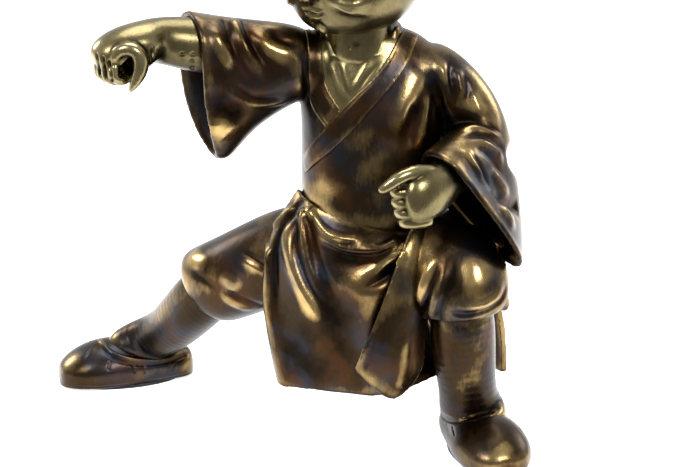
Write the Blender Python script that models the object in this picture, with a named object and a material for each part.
"""Cast resin figure of a young monk in a wide fighting stance: its castings, dowels and pads.

+Z is up and the figure faces -Y. Sizes and places here are millimetres, and MM turns them into metres.
"""

from collections import namedtuple
from math import radians

import bmesh
import bpy
from mathutils import Euler, Matrix, Vector
from mathutils.bvhtree import BVHTree

MM = 0.001

# Joints between the castings
GLUE_LINE = 0.4
DOWEL_RADIUS = 2.5
DOWEL_CLEARANCE = 0.3
DOWEL_SIDES = 12
DOWEL_REACH = 11.0
WRIST_DOWEL_REACH = 8.0
NECK_DOWEL_REACH = 22.0

# Feet
PAD_THICKNESS = 1.2
PAD_INSET = 5.0
PAD_END_INSET = 7.0
SHOE_LENGTH = 78.0
SHOE_WIDTH = 43.0
SHOE_HEIGHT = 22.0
SHOE_HEEL = 26.0
ANKLE_HEIGHT = 19.0
RIGHT_ANKLE = (-85.0, 67.0)
RIGHT_SHOE_TURN = 197.0
LEFT_ANKLE = (101.0, -36.0)
LEFT_SHOE_TURN = -74.0

# Legs
GAITER_RADIUS = 16.5
INSTEP_LENGTH = 27.0
INSTEP_SLOPE = 0.3
THIGH_RADIUS = 26.0
HEM_RADIUS = 20.0

# Body and cloth
WAIST_WIDTH = 78.0
CHEST_WIDTH = 82.0
CHEST_DEPTH = 58.0
CLOTH_THICKNESS = 4.5
SKIRT_FOLD_DEPTH = 10.0
SKIRT_BACK_FOLDS = 5
LAPEL_THICKNESS = 2.2
SHIRT_THICKNESS = 1.4
SLEEVE_WALL = 3.0
SLEEVE_WALL_GAIN = 0.4
SLEEVE_TAPER = 0.2
SLEEVE_MOUTH = 6.0

# Arms and hands
SHOULDER_RADIUS = 19.0
FOREARM_RADIUS = 15.0
WRIST_RADIUS = 11.4
RIGHT_WRIST = Vector((-71.0, -37.5, 223.3))
RIGHT_WRIST_WAY = Vector((-0.87, -0.46, 0.06))
LEFT_WRIST = Vector((82.0, -55.0, 153.0))
LEFT_WRIST_WAY = Vector((-0.42, -0.89, -0.2))
FINGER_RADIUS = 4.1
THUMB_RADIUS = 4.6
GRIP_RADIUS = 8.0

# Head
NECK_RADIUS = 18.4
HEAD_WIDTH = 75.0
HEAD_DEPTH = 80.0
HEAD_HEIGHT = 80.0
HEAD_CENTRE = (37.0, -12.0, 265.0)
HEAD_TURN = -40.0
HEAD_NOD = 6.0
EAR_HEIGHT = 22.0

# The middle of the footprint, which becomes the part's origin
FOOTPRINT_CENTRE = (-3.2, -0.7)

# How closely a strip on the robe follows the body under it
BAND_LIFT = 0.75
BAND_ROWS = 12
BAND_COLUMNS = 3

UP = Vector((0, 0, 1))
FRONT = Vector((0, -1, 0))
BACK = Vector((0, 1, 0))

# A section of a casting: its middle, its reach above and below it and to each side, how far its lower half
# narrows, and the ways that its plane and its upper half face (None follows the casting's own line)
Ring = namedtuple("Ring", "at over under half pinch facing up", defaults=(0.0, None, None))

for leftover in list(bpy.data.objects):
    bpy.data.objects.remove(leftover)

figure = bpy.data.objects.new("figure", None)
figure.location = (-FOOTPRINT_CENTRE[0] * MM, -FOOTPRINT_CENTRE[1] * MM, 0)
bpy.context.scene.collection.objects.link(figure)


def finish(name, colour, roughness, metallic):
    material = bpy.data.materials.new(name)
    material.use_nodes = True
    shader = material.node_tree.nodes["Principled BSDF"]
    shader.inputs["Base Color"].default_value = (*colour, 1)
    shader.inputs["Roughness"].default_value = roughness
    shader.inputs["Metallic"].default_value = metallic
    material.diffuse_color = (*colour, 1)
    return material


GOLD_PAINT = finish("gold_paint", (0.50, 0.36, 0.13), 0.32, 0.9)
BRONZE_PAINT = finish("bronze_paint", (0.16, 0.10, 0.05), 0.34, 0.9)
STEEL = finish("steel_rod", (0.55, 0.55, 0.56), 0.3, 1.0)
FELT = finish("black_felt", (0.03, 0.03, 0.03), 0.95, 0.0)


def new_object(name, bm, material):
    """Turns a bmesh into a named object with smooth shading that hangs on the figure."""
    bmesh.ops.recalc_face_normals(bm, faces=bm.faces)
    mesh = bpy.data.meshes.new(name)
    bm.to_mesh(mesh)
    bm.free()
    mesh.shade_smooth()
    mesh.materials.append(material)
    piece = bpy.data.objects.new(name, mesh)
    piece.parent = figure
    bpy.context.scene.collection.objects.link(piece)
    return piece


def helper(piece):
    piece.hide_render = True
    piece.display_type = "WIRE"
    return piece


def smooth(piece, levels=1):
    """Rounds a cage. The fixed diagonals keep a casting and its clearance copy parallel."""
    modifier = piece.modifiers.new("rounding", "SUBSURF")
    modifier.levels = levels
    modifier.render_levels = levels
    modifier.boundary_smooth = "PRESERVE_CORNERS"
    piece.modifiers.new("diagonals", "TRIANGULATE").quad_method = "FIXED"
    return piece


def add_loop(bm, ring, facing, up, sides):
    """Adds one section's closed loop and returns its edges."""
    across = facing.cross(up).normalized()
    top = across.cross(facing).normalized()
    loop = bmesh.ops.create_circle(bm, segments=sides, radius=1)["verts"]
    for vert in loop:
        spread, lift = vert.co.x, vert.co.y
        height = (ring.over if lift > 0 else ring.under) * lift
        width = ring.half * (1 - ring.pinch * max(0, -lift) ** 2) * spread
        vert.co = (Vector(ring.at) + top * height + across * width) * MM
    return list({edge for vert in loop for edge in vert.link_edges})


def add_loft(bm, rings, sides, facing=None, up=UP, crisp_end=False):
    """Skins a row of sections into one closed shell, with a sharp last rim if it is a cut edge."""
    crease = bm.edges.layers.float.new("crease_edge")
    places = [Vector(ring.at) for ring in rings]
    before = None
    ends = []
    for i, ring in enumerate(rings):
        course = places[min(i + 1, len(rings) - 1)] - places[max(i - 1, 0)]
        way = Vector(ring.facing or facing or course).normalized()
        edges = add_loop(bm, ring, way, Vector(ring.up or up), sides)
        if before:
            bmesh.ops.bridge_loops(bm, edges=before + edges)
        before = edges
        if i in (0, len(rings) - 1):
            ends += edges
    bmesh.ops.holes_fill(bm, edges=ends, sides=0)
    if crisp_end:
        for edge in before:
            edge[crease] = 1


def loft(name, rings, material, sides=12, facing=None, up=UP, levels=1, crisp_end=False):
    bm = bmesh.new()
    add_loft(bm, rings, sides, facing, up, crisp_end)
    return smooth(new_object(name, bm, material), levels)


def panel(name, rows, outward, thickness, material=BRONZE_PAINT, levels=2):
    """A cloth casting: its outer face passes by the given rows of points, and it thickens inwards."""
    bm = bmesh.new()
    columns = len(rows[0])
    bmesh.ops.create_grid(bm, x_segments=columns - 1, y_segments=len(rows) - 1, size=1)
    bm.verts.ensure_lookup_table()
    for i, vert in enumerate(bm.verts):
        vert.co = Vector(rows[i // columns][i % columns]) * MM
    bm.normal_update()
    if sum((face.normal for face in bm.faces), Vector()).dot(outward) < 0:
        bmesh.ops.reverse_faces(bm, faces=bm.faces)
    mesh = bpy.data.meshes.new(name)
    bm.to_mesh(mesh)
    bm.free()
    mesh.shade_smooth()
    mesh.materials.append(material)
    piece = smooth(bpy.data.objects.new(name, mesh), levels)
    piece.parent = figure
    bpy.context.scene.collection.objects.link(piece)
    wall = piece.modifiers.new("wall", "SOLIDIFY")
    wall.thickness = thickness * MM
    wall.offset = -1
    return piece


def along(places, t):
    """The place at share t of a row of places."""
    span = t * (len(places) - 1)
    first = min(int(span), len(places) - 2)
    return Vector(places[first]).lerp(Vector(places[first + 1]), span - first)


def band(name, upper, lower, body, thickness, material):
    """A strip laid on the body's front between two edges, each a row of (share of half width, z) places."""
    bpy.context.view_layer.update()
    surface = BVHTree.FromObject(body, bpy.context.evaluated_depsgraph_get())
    rows = []
    for across in range(BAND_COLUMNS + 1):
        row = []
        for step in range(BAND_ROWS + 1):
            t = step / BAND_ROWS
            share, z = along(upper, t).lerp(along(lower, t), across / BAND_COLUMNS)
            start = Vector((across_torso(share, z), -CHEST_DEPTH * 2, z))
            hit, normal, _, _ = surface.ray_cast(start * MM, BACK)
            row.append((hit + normal * (BAND_LIFT + thickness) * MM) / MM)
        rows.append(row)
    return panel(name, rows, FRONT, thickness, material, 0)


def grown(piece):
    """The hidden copy of a casting, larger by the glue line, that cuts its neighbours clear of it."""
    name = piece.name + "_clearance"
    if name in bpy.data.objects:
        return bpy.data.objects[name]
    cutter = helper(bpy.data.objects.new(name, piece.data))
    cutter.parent = figure
    cutter.location = piece.location
    cutter.rotation_euler = piece.rotation_euler
    bpy.context.scene.collection.objects.link(cutter)
    for modifier in piece.modifiers:
        if modifier.type == "SUBSURF":
            smooth(cutter, modifier.levels)
        if modifier.type == "SOLIDIFY":
            wall = cutter.modifiers.new("wall", "SOLIDIFY")
            wall.thickness = modifier.thickness
            wall.offset = modifier.offset
    growth = cutter.modifiers.new("glue_line", "DISPLACE")
    growth.mid_level = 0
    growth.strength = GLUE_LINE * MM
    return cutter


def combine(piece, other, operation):
    """Joins or cuts two closed shells. The exact solver loses some of these near-parallel faces."""
    modifier = piece.modifiers.new(other.name, "BOOLEAN")
    modifier.operation = operation
    modifier.solver = "MANIFOLD"
    modifier.object = other


def clear_of(piece, *others):
    for other in others:
        combine(piece, grown(other), "DIFFERENCE")


def dowel(name, at, along, reach, *castings):
    """A steel rod across a joint, and its socket in each casting that it enters."""

    def rod(title, radius, half_length, material):
        bm = bmesh.new()
        wide, long = radius * MM, 2 * half_length * MM
        bmesh.ops.create_cone(
            bm, cap_ends=True, segments=DOWEL_SIDES, radius1=wide, radius2=wide, depth=long
        )
        piece = new_object(title, bm, material)
        piece.location = Vector(at) * MM
        piece.rotation_euler = Vector(along).to_track_quat("Z", "Y").to_euler()
        return piece

    rod(name, DOWEL_RADIUS, reach, STEEL)
    loose_radius, loose_reach = DOWEL_RADIUS + DOWEL_CLEARANCE, reach + DOWEL_CLEARANCE
    socket = helper(rod(name + "_socket", loose_radius, loose_reach, STEEL))
    for casting in castings:
        combine(casting, socket, "DIFFERENCE")


def torso_rings():
    waist, chest = WAIST_WIDTH / 2, CHEST_WIDTH / 2
    front, back = CHEST_DEPTH * 0.52, CHEST_DEPTH * 0.48
    return [
        Ring((45, -5, 98), front + 1, back, waist - 3),
        Ring((46, -6, 118), front + 5, back, waist),
        Ring((46, -7, 140), front + 5, back, waist),
        Ring((46, -8, 165), front + 2, back + 1, waist),
        Ring((47, -7, 187), front - 1, back, chest),
        Ring((46, -6, 204), front - 5, back - 3, chest - 1),
        Ring((44, -6, 216), front - 10, back - 7, chest - 7),
        Ring((41, -7, 225), front - 13, back - 11, chest - 18),
    ]


def across_torso(share, z):
    """The x place at this share of the torso's half width, at height z."""
    rings = torso_rings()
    low, high = next((a, b) for a, b in zip(rings, rings[1:]) if z <= b.at[2])
    t = (z - low.at[2]) / (high.at[2] - low.at[2])
    middle = low.at[0] + (high.at[0] - low.at[0]) * t
    return middle + share * (low.half + (high.half - low.half) * t)


def shoulder_place(side):
    """The x place of the widest section under the shoulders, to one side of the torso."""
    widest = torso_rings()[-3]
    return widest.at[0] + side * widest.half


def make_torso():
    return loft("torso", torso_rings(), BRONZE_PAINT, 12, UP, FRONT)


def make_seat():
    hip = WAIST_WIDTH / 2 - 4
    rings = [
        Ring((44, 0, 73), 12, 14, hip - 20),
        Ring((44, 0, 80), 24, 26, hip - 5),
        Ring((44, 0, 92), 27, 28, hip),
        Ring((44, 0, 106), 28, 28, hip + 1),
    ]
    return loft("seat", rings, BRONZE_PAINT, 10, UP, FRONT)


def make_neck():
    r = NECK_RADIUS
    rings = [
        Ring((39, -11, 204), r + 1, r + 1, r + 1),
        Ring((38.5, -11.5, 216), r, r, r),
        Ring((38, -12, 228), r - 0.8, r - 0.8, r - 0.8),
        Ring((38, -12, 242), r - 0.8, r - 0.8, r - 0.8),
    ]
    return loft("neck", rings, GOLD_PAINT, 12, UP, FRONT)


def make_head():
    """The skull and jaw are level sections, as (height, forward shift, front, back, side) shares."""
    levels = [
        (-1.00, 0.20, 0.30, 0.34, 0.38),
        (-0.90, 0.14, 0.66, 0.62, 0.70),
        (-0.64, 0.08, 0.88, 0.84, 0.92),
        (-0.28, 0.03, 0.99, 0.97, 1.03),
        (0.10, 0.00, 1.01, 1.05, 1.03),
        (0.46, 0.00, 0.95, 1.02, 0.97),
        (0.77, 0.00, 0.72, 0.78, 0.75),
        (0.94, 0.00, 0.40, 0.44, 0.42),
        (1.00, 0.00, 0.16, 0.18, 0.17),
    ]
    wide, deep, high = HEAD_WIDTH / 2, HEAD_DEPTH / 2, HEAD_HEIGHT / 2
    rings = [
        Ring((0, -shift * deep, z * high), front * deep, back * deep, side * wide)
        for z, shift, front, back, side in levels
    ]
    head = loft("head", rings, GOLD_PAINT, 12, UP, FRONT)
    ear = EAR_HEIGHT / 2
    for side in (-1, 1):
        leaf = [
            Ring((side * (wide - 7), 2, -8), ear * 0.6, ear * 0.6, ear * 0.4),
            Ring((side * (wide - 2), 3, -8), ear * 0.85, ear * 0.95, ear * 0.55),
            Ring((side * (wide + 1), 5, -7.5), ear, ear * 1.05, ear * 0.62),
            Ring((side * (wide + 2), 6, -7), ear * 0.8, ear * 0.8, ear * 0.45),
        ]
        wing = helper(loft(f"ear_{side}", leaf, GOLD_PAINT, 12, (side, 0.25, 0), levels=0))
        wing.parent = head
        combine(head, wing, "UNION")
    bridge = [
        Ring((0, -deep + 5, 3), 2, 2, 2.2),
        Ring((0, -deep - 0.5, -4), 3, 3, 3.4),
        Ring((0, -deep - 3.0, -10), 3.4, 3.4, 4.6),
        Ring((0, -deep + 1, -13.5), 3, 3, 4.0),
    ]
    nose = helper(loft("nose", bridge, GOLD_PAINT, 8, None, FRONT, 0))
    nose.parent = head
    combine(head, nose, "UNION")
    head.location = Vector(HEAD_CENTRE) * MM
    head.rotation_euler = Euler((radians(HEAD_NOD), 0, radians(HEAD_TURN)))
    return head


def hollow_out(sleeve, rings, mouth_way):
    """Cuts the inside of a sleeve, which narrows from its cuff back along the given outer sections."""
    inside = []
    for step, ring in enumerate(rings):
        wall = SLEEVE_WALL * (1 + SLEEVE_WALL_GAIN * step)
        under = (ring.under - wall) * (1 - SLEEVE_TAPER * step)
        inside.append(ring._replace(over=ring.over - wall, under=under, half=ring.half - wall))
    mouth = inside[0]._replace(at=Vector(inside[0].at) + Vector(mouth_way) * SLEEVE_MOUTH)
    hollow = helper(loft(sleeve.name + "_hollow", [mouth] + inside, BRONZE_PAINT))
    combine(sleeve, hollow, "DIFFERENCE")


def make_right_sleeve():
    r = SHOULDER_RADIUS
    shoulder = shoulder_place(-1)
    slant = (-0.9, -0.4, -0.2)
    outside = [
        Ring((shoulder + 12, -6, 203), r - 4, r - 3, r - 6),
        Ring((shoulder, -11, 207), r + 1, r + 6, r + 1, 0.1),
        Ring((-12, -14, 210), r, r + 17, r, 0.3),
        Ring((-29, -18, 214), r - 1, r + 33, r, 0.45),
        Ring((-46, -23, 218), r - 1, r + 46, r + 1, 0.4, slant),
    ]
    sleeve = loft("right_sleeve", outside, BRONZE_PAINT, crisp_end=True)
    hollow_out(sleeve, outside[:1:-1], slant)
    return sleeve


def make_left_sleeve():
    r = SHOULDER_RADIUS
    shoulder = shoulder_place(1)
    slant = (-0.6, -0.72, -0.43)
    outside = [
        Ring((shoulder - 20, -6, 206), r - 2, r - 3, r - 2, 0, (0.9, 0, -0.44), (-0.4, 0, -0.9)),
        Ring((shoulder - 5, -5, 198), r - 1, r - 2, r - 1, 0, (0.72, 0, -0.7), (-0.7, 0, -0.7)),
        Ring((94, -5, 183), r, r - 1, r, 0, (0.5, -0.1, -0.86), (-0.86, -0.1, -0.5)),
        Ring((102, -10, 168), r - 1, r + 2, r - 2, 0.1, (0.0, -0.55, -0.83), (-0.8, -0.5, 0.2)),
        Ring((98, -25, 161), r - 3, r + 46, r - 4, 0.25, (-0.5, -0.82, -0.38), (-0.435, -0.15, 0.888)),
        Ring((86, -44, 157), r - 6, r + 53, r - 3, 0.2, slant, (-0.545, -0.063, 0.836)),
    ]
    sleeve = loft("left_sleeve", outside, BRONZE_PAINT, crisp_end=True)
    hollow_out(sleeve, outside[:3:-1], slant)
    return sleeve


def wrist_ring(at, way):
    return Ring(at, WRIST_RADIUS, WRIST_RADIUS, WRIST_RADIUS, 0, way)


def make_right_forearm():
    r = FOREARM_RADIUS
    rings = [
        Ring((-17, -15.5, 210), r - 3, r - 3, r - 3),
        Ring((-30, -19, 214), r - 1, r - 1, r - 1),
        Ring((-45, -25, 218.5), r, r, r),
        Ring((-57, -30.5, 221), r - 1.5, r - 1.5, r - 1.5),
        Ring((-66, -35, 222.8), WRIST_RADIUS, WRIST_RADIUS, WRIST_RADIUS),
        wrist_ring(RIGHT_WRIST, RIGHT_WRIST_WAY),
    ]
    return loft("right_forearm", rings, GOLD_PAINT, 10)


def make_left_forearm():
    r = FOREARM_RADIUS - 2
    rings = [
        Ring((104, -12, 166), r - 4, r - 4, r - 4),
        Ring((100, -22, 162.5), r - 2, r - 2, r - 2),
        Ring((91, -38, 158), r - 0.5, r - 0.5, r - 0.5),
        Ring((85, -49, 155), WRIST_RADIUS, WRIST_RADIUS, WRIST_RADIUS),
        wrist_ring(LEFT_WRIST, LEFT_WRIST_WAY),
    ]
    return loft("left_forearm", rings, GOLD_PAINT, 10)


def add_digit(hand, which, places, radius):
    """Joins a finger, the thumb or the filled grip to a hand: a round-ended tube through these places."""
    shares = [0.9, 1.05] + [1.05] * (len(places) - 3) + [0.9]
    last = Vector(places[-1])
    tip = last + (last - Vector(places[-2])).normalized() * radius * 0.7
    rings = [Ring(place, radius * s, radius * s, radius * s) for place, s in zip(places, shares)]
    rings.append(Ring(tip, radius * 0.45, radius * 0.45, radius * 0.45))
    digit = helper(loft(f"{hand.name}_{which}", rings, GOLD_PAINT, 8, None, (0.35, 0.2, 0.9), 0))
    combine(hand, digit, "UNION")


def make_right_hand():
    """A hooked fist: the palm faces down, the fingers hang and curl back, and the thumb hangs in front."""
    r = WRIST_RADIUS
    rings = [
        wrist_ring(RIGHT_WRIST + RIGHT_WRIST_WAY * GLUE_LINE, RIGHT_WRIST_WAY),
        Ring((-78, -42, 222.5), r - 1, r - 1, r + 1.5),
        Ring((-85, -47.5, 219.5), r - 2, r - 2, r + 2),
        Ring((-90, -51, 216), r - 5, r - 3, r + 1),
        Ring((-91.5, -52, 213), r - 8, r - 7, r - 4),
    ]
    hand = loft("right_hand", rings, GOLD_PAINT, 10)
    knuckles = [(-82, -58, 220), (-86, -53.5, 220.5), (-89.5, -49, 219.5), (-92, -44.5, 217.5)]
    for number, knuckle in enumerate(knuckles):
        top = Vector(knuckle)
        bend = top + Vector((-1.5, -2, -9.5))
        curl = bend + Vector((5.5, 3.5, -3.6))
        root, tip = top + Vector((4, 3, 0)), curl + Vector((5.0, 3.5, 3.5))
        add_digit(hand, number, [root, top, bend, curl, tip], FINGER_RADIUS)
    thumb = [(-71, -47, 220), (-71, -57, 216), (-72.5, -59, 209), (-76, -58, 204)]
    add_digit(hand, "thumb", thumb, THUMB_RADIUS)
    grip = [(-80, -53, 213), (-84, -49, 213), (-88, -45, 211.5), (-91, -41, 209.5)]
    add_digit(hand, "grip", grip, GRIP_RADIUS)
    return hand


def make_left_hand():
    """A fist at the waist: four fingers stacked and curled to the viewer's left, the thumb on top."""
    r = WRIST_RADIUS
    rings = [
        wrist_ring(LEFT_WRIST + LEFT_WRIST_WAY * GLUE_LINE, LEFT_WRIST_WAY),
        Ring((78, -62, 151.5), r + 1.5, r + 2, r - 1.5),
        Ring((72.5, -69, 149.5), r + 1.5, r + 3, r - 3),
        Ring((70, -73, 148.5), r - 1, r + 1, r - 6),
    ]
    hand = loft("left_hand", rings, GOLD_PAINT, 10)
    pitch = FINGER_RADIUS * 1.7
    for number in range(4):
        drop = Vector((0.35 * number, 0.2 * number, -pitch * number))
        route = [(75, -71, 159), (70.5, -74.5, 159), (57, -71.5, 158.5), (58, -63, 158), (66, -62, 157.5)]
        add_digit(hand, number, [Vector(place) + drop for place in route], FINGER_RADIUS)
    thumb = [(78, -62, 160), (70, -69.5, 164.5), (59, -74, 161), (51, -75, 156)]
    add_digit(hand, "thumb", thumb, THUMB_RADIUS)
    grip = [(64.5, -67.5, 161), (64, -67.5, 153), (64, -67, 146), (64.5, -66.5, 137)]
    add_digit(hand, "grip", grip, GRIP_RADIUS)
    return hand


def make_right_trouser_leg():
    r, hem = THIGH_RADIUS, HEM_RADIUS
    rings = [
        Ring((26, 0, 100), r - 3, r - 4, r - 4),
        Ring((6, 3, 101), r + 1, r + 1, r),
        Ring((-13, 9, 92), r + 1, r + 2, r),
        Ring((-28, 16, 83), r + 1, r + 2, r),
        Ring((-37, 20, 76), r + 1, r, r - 1),
        Ring((-43, 24, 69), hem + 3, hem + 3, hem + 2),
        Ring((-46, 26, 66), hem - 4, hem - 4, hem - 4),
    ]
    return loft("right_trouser_leg", rings, BRONZE_PAINT)


def make_left_trouser_leg():
    r, hem = THIGH_RADIUS, HEM_RADIUS
    rings = [
        Ring((62, 2, 99), r - 4, r - 4, r - 4),
        Ring((74, -14, 103), r - 1, r - 1, r - 1),
        Ring((86, -33, 103), r + 3, r - 2, r + 2, 0, None, (0, -0.4, 1)),
        Ring((91, -45, 96), r - 3, r - 1, r + 2, 0, None, (0, -1, 0.6)),
        Ring((93, -49, 86), hem - 1, hem + 2, hem + 6, 0, None, FRONT),
        Ring((94, -48, 79), hem - 2, hem, hem + 4, 0, None, FRONT),
        Ring((94.5, -47, 76), hem - 5, hem - 4, hem - 3, 0, None, FRONT),
    ]
    return loft("left_trouser_leg", rings, BRONZE_PAINT)


def toe_way(turn):
    return Matrix.Rotation(radians(turn), 3, "Z") @ Vector((1, 0, 0))


def make_gaiter(name, line, ankle, turn):
    """A wrapped legging along the shin's line, ending in the instep that fills the shoe's mouth."""
    r = GAITER_RADIUS
    toe = toe_way(turn)
    rings = [Ring(place, r * share, r * share, r * share) for place, share in line]
    instep = (ankle[0], ankle[1], SHOE_HEIGHT - 2)
    rings.append(Ring(instep, INSTEP_LENGTH, r - 1, r - 1.5, 0, toe * INSTEP_SLOPE - UP, toe))
    rings.append(Ring((*ankle, SHOE_HEIGHT / 2), INSTEP_LENGTH - 4, r - 4, r - 4, 0, (0, 0, -1), toe))
    return loft(name, rings, BRONZE_PAINT, 10)


def make_shoe(name, ankle, turn):
    """A soft shoe, as cross sections from heel to toe, cut flat where the pad is glued on."""
    half, sole = SHOE_WIDTH / 2, SHOE_HEIGHT * 0.4
    lift = SHOE_HEIGHT - sole
    shares = [(0.0, 0.38, 0.45), (0.05, 0.64, 0.75), (0.2, 0.76, 0.9), (0.42, 0.88, 1.15)]
    shares += [(0.64, 1.0, 1.4), (0.82, 0.94, 1.1), (0.94, 0.70, 0.68), (1.0, 0.36, 0.3)]
    rings = [
        Ring((t * SHOE_LENGTH - SHOE_HEEL, 0, sole), lift * high, sole * 1.5, half * wide)
        for t, wide, high in shares
    ]
    shoe = loft(name, rings, BRONZE_PAINT, 12, (1, 0, 0))
    slab = bmesh.new()
    bmesh.ops.create_cube(slab, size=2 * SHOE_LENGTH * MM)
    ground = helper(new_object(name + "_ground", slab, FELT))
    for piece, height in ((shoe, 0), (ground, PAD_THICKNESS + GLUE_LINE - SHOE_LENGTH)):
        piece.location = Vector((*ankle, height)) * MM
        piece.rotation_euler = Euler((0, 0, radians(turn)))
    combine(shoe, ground, "DIFFERENCE")
    return shoe


def make_pad(name, ankle, turn):
    bm = bmesh.new()
    outline = bmesh.ops.create_circle(bm, cap_ends=True, segments=24, radius=1)["verts"]
    long, wide = SHOE_LENGTH / 2 - PAD_END_INSET, SHOE_WIDTH / 2 - PAD_INSET
    bmesh.ops.scale(bm, vec=Vector((long, wide, 1)) * MM, verts=outline)
    added = bmesh.ops.extrude_face_region(bm, geom=bm.faces[:])["geom"]
    top = [item for item in added if isinstance(item, bmesh.types.BMVert)]
    bmesh.ops.translate(bm, vec=UP * PAD_THICKNESS * MM, verts=top)
    pad = new_object(name, bm, FELT)
    middle = Vector((*ankle, 0)) + toe_way(turn) * (SHOE_LENGTH / 2 - SHOE_HEEL)
    pad.location = middle * MM
    pad.rotation_euler = Euler((0, 0, radians(turn)))
    pad.data.polygons.foreach_set("use_smooth", [False] * len(pad.data.polygons))
    return pad


def make_skirt_front():
    """Columns run down the folds that fan from the hip. The upper rows are the folds slung across the lap."""
    rows = [
        [
            (6, -12, 138), (8, -21, 136), (11, -23, 135), (14, -33, 134),
            (22, -37, 131), (42, -48, 126), (58, -47, 122), (75, -36, 120),
        ],
        [
            (-3, -14, 125), (-1, -23, 124), (1, -23, 123), (5, -36, 122),
            (16, -36, 120), (40, -58, 117), (58, -57, 115), (76, -42, 113),
        ],
        [
            (-9, -16, 113), (-8, -26, 112), (-5, -22, 111), (2, -40, 110),
            (12, -33, 109), (39, -46, 108), (57, -46, 106), (75, -41, 104),
        ],
        [
            (-12, -18, 100), (-12, -28, 99), (-7, -23, 98), (6, -47, 97),
            (16, -33, 97), (38, -62, 97), (55, -59, 96), (73, -38, 96),
        ],
        [
            (-14, -20, 84), (-14, -31, 83), (-7, -24, 82), (13, -52, 80),
            (24, -36, 79), (41, -54, 80), (56, -50, 78), (73, -34, 80),
        ],
        [
            (-12, -22, 61), (-10, -33, 60), (-3, -28, 59), (18, -50, 58),
            (31, -41, 58), (46, -58, 58), (61, -49, 58), (80, -30, 60),
        ],
        [
            (-6, -24, 31), (-3, -32, 31), (4, -32, 32), (22, -45, 33),
            (35, -44, 33), (48, -55, 33), (64, -47, 35), (86, -30, 40),
        ],
    ]
    return panel("skirt_front", rows, FRONT, CLOTH_THICKNESS)


def make_skirt_flap():
    rows = [
        [(62, -54, 121), (67, -54, 120), (72, -50, 119)],
        [(53, -60, 95), (61, -61, 94), (69, -58, 93)],
        [(45, -61, 73), (55, -62, 71), (66, -58, 70)],
        [(39, -60, 60), (51, -63, 54), (65, -58, 47)],
        [(36, -59, 52), (46, -62, 42), (57.5, -60, 31)],
    ]
    return panel("skirt_flap", rows, FRONT, CLOTH_THICKNESS, levels=1)


def folded(row, depth):
    """Places along a row, pushed out and in by turns, so that the cloth hangs in folds."""
    steps = 2 * SKIRT_BACK_FOLDS
    places = [along(row, step / steps) for step in range(steps + 1)]
    for step in range(1, steps):
        places[step] += BACK * depth * (1 if step % 2 else -1)
    return places


def make_skirt_back():
    """Each row has its own share of the folds' depth, from none at the waist to all of it at the hem."""
    rows = [
        ([(10, 6, 130), (24, 22, 128), (46, 26, 126), (68, 22, 126), (84, 4, 128)], 0),
        ([(-4, 30, 102), (18, 36, 98), (46, 38, 96), (76, 34, 98), (100, 16, 102)], 0.5),
        ([(-9, 38, 66), (16, 44, 62), (46, 46, 60), (82, 42, 60), (116, 20, 62)], 1),
        ([(-11, 41, 30), (14, 48, 26), (46, 51, 24), (86, 47, 22), (126, 22, 20)], 1),
    ]
    pleats = [folded(row, share * SKIRT_FOLD_DEPTH) for row, share in rows]
    return panel("skirt_back", pleats, BACK, CLOTH_THICKNESS)


torso = make_torso()
seat = make_seat()
neck = make_neck()
head = make_head()

# The edges of the strips across the chest, as shares of the torso's half width and heights
over_upper = [(0.64, 222), (0.09, 207), (-0.36, 189.5), (-0.68, 175), (-0.91, 163.5)]
over_lower = [(0.86, 219), (0.38, 207), (-0.04, 191.5), (-0.49, 171.5), (-0.91, 153)]
lapel_over = band("lapel_over", over_upper, over_lower, torso, LAPEL_THICKNESS, BRONZE_PAINT)
under_right = [(-0.74, 220), (-0.64, 210), (-0.54, 196), (-0.41, 185)]
under_left = [(-0.87, 214), (-0.81, 205), (-0.77, 192), (-0.64, 176)]
lapel_under = band("lapel_under", under_right, under_left, torso, LAPEL_THICKNESS, BRONZE_PAINT)
shirt_left = [(-0.74, 219), (-0.64, 208), (-0.55, 197), (-0.46, 188)]
shirt_right = [(0.56, 221), (0.12, 208), (-0.16, 197), (-0.36, 189)]
inner_shirt = band("inner_shirt", shirt_left, shirt_right, torso, SHIRT_THICKNESS, GOLD_PAINT)

right_sleeve = make_right_sleeve()
left_sleeve = make_left_sleeve()
right_forearm = make_right_forearm()
left_forearm = make_left_forearm()
right_hand = make_right_hand()
left_hand = make_left_hand()

# Each shin's line from the knee down, with the gaiter's share of its radius there
right_shin = [
    ((-34, 18, 79), 0.9),
    ((-48, 28, 64), 1.08),
    ((-62, 40, 48), 1.02),
    ((-73, 51, 36), 1.02),
    ((-81, 61, 27), 1.08),
]
left_shin = [
    ((92.5, -48, 89), 0.9),
    ((93, -47, 75), 1.12),
    ((95, -45, 50), 1.02),
    ((97, -41, 34), 0.96),
    ((98, -38, 25), 1.05),
]
right_trouser_leg = make_right_trouser_leg()
left_trouser_leg = make_left_trouser_leg()
right_gaiter = make_gaiter("right_gaiter", right_shin, RIGHT_ANKLE, RIGHT_SHOE_TURN)
left_gaiter = make_gaiter("left_gaiter", left_shin, LEFT_ANKLE, LEFT_SHOE_TURN)
right_shoe = make_shoe("right_shoe", RIGHT_ANKLE, RIGHT_SHOE_TURN)
left_shoe = make_shoe("left_shoe", LEFT_ANKLE, LEFT_SHOE_TURN)
make_pad("right_pad", RIGHT_ANKLE, RIGHT_SHOE_TURN)
make_pad("left_pad", LEFT_ANKLE, LEFT_SHOE_TURN)

skirt_front = make_skirt_front()
skirt_flap = make_skirt_flap()
skirt_back = make_skirt_back()

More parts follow.
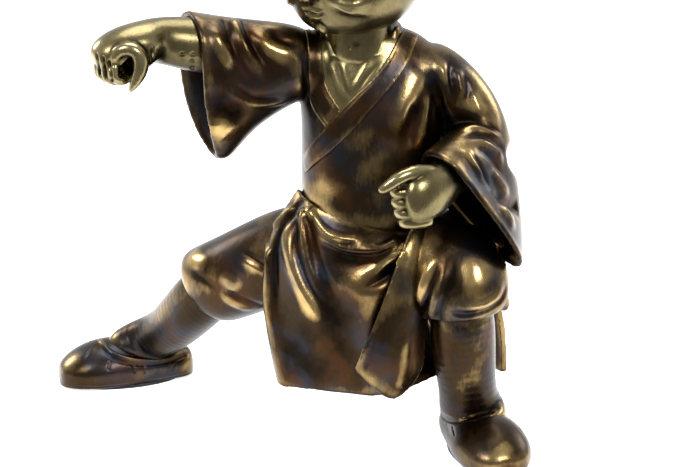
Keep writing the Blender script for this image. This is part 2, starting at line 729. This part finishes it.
# Each casting is cut clear of those that it is glued to
clear_of(seat, torso)
clear_of(torso, neck)
clear_of(head, neck)
clear_of(lapel_over, torso, neck)
clear_of(lapel_under, torso, neck, lapel_over)
clear_of(inner_shirt, torso, neck, lapel_over, lapel_under)
clear_of(right_sleeve, torso, right_forearm, lapel_under)
clear_of(left_sleeve, torso, left_forearm, lapel_over, left_trouser_leg)
clear_of(right_trouser_leg, seat, torso)
clear_of(left_trouser_leg, seat, torso)
clear_of(right_gaiter, right_trouser_leg, right_shoe)
clear_of(left_gaiter, left_trouser_leg, left_shoe)
clear_of(skirt_front, torso, seat, right_trouser_leg, left_trouser_leg, left_gaiter)
clear_of(skirt_back, torso, seat, right_trouser_leg, left_trouser_leg, skirt_front)
clear_of(skirt_flap, torso, skirt_front, left_trouser_leg)

dowel("neck_dowel", (38, -11, 230), UP, NECK_DOWEL_REACH, torso, neck, head)
dowel("waist_dowel", (45, -4, 98), UP, DOWEL_REACH, torso, seat)
right_shoulder = (shoulder_place(-1) + 2, -10, 204)
left_shoulder = (shoulder_place(1) - 2, -5, 198)
dowel("right_shoulder_dowel", right_shoulder, (-1, -0.15, 0.15), DOWEL_REACH, torso, right_sleeve)
dowel("left_shoulder_dowel", left_shoulder, (0.8, 0, -0.6), DOWEL_REACH, torso, left_sleeve)
dowel("right_wrist_dowel", RIGHT_WRIST, RIGHT_WRIST_WAY, WRIST_DOWEL_REACH, right_forearm, right_hand)
dowel("left_wrist_dowel", LEFT_WRIST, LEFT_WRIST_WAY, WRIST_DOWEL_REACH, left_forearm, left_hand)
dowel("right_hip_dowel", (9, 2, 95), (-0.97, 0.2, -0.1), DOWEL_REACH, seat, right_trouser_leg)
dowel("left_hip_dowel", (73, -13, 95), (0.55, -0.83, 0.1), DOWEL_REACH, seat, left_trouser_leg)
dowel("right_knee_dowel", (-46, 26, 65), (-0.55, 0.5, -0.66), DOWEL_REACH, right_trouser_leg, right_gaiter)
dowel("left_knee_dowel", (94, -47, 77), (0.08, 0.08, -1), DOWEL_REACH, left_trouser_leg, left_gaiter)
dowel("right_ankle_dowel", (*RIGHT_ANKLE, ANKLE_HEIGHT), UP, DOWEL_REACH, right_gaiter, right_shoe)
dowel("left_ankle_dowel", (*LEFT_ANKLE, ANKLE_HEIGHT), UP, DOWEL_REACH, left_gaiter, left_shoe)
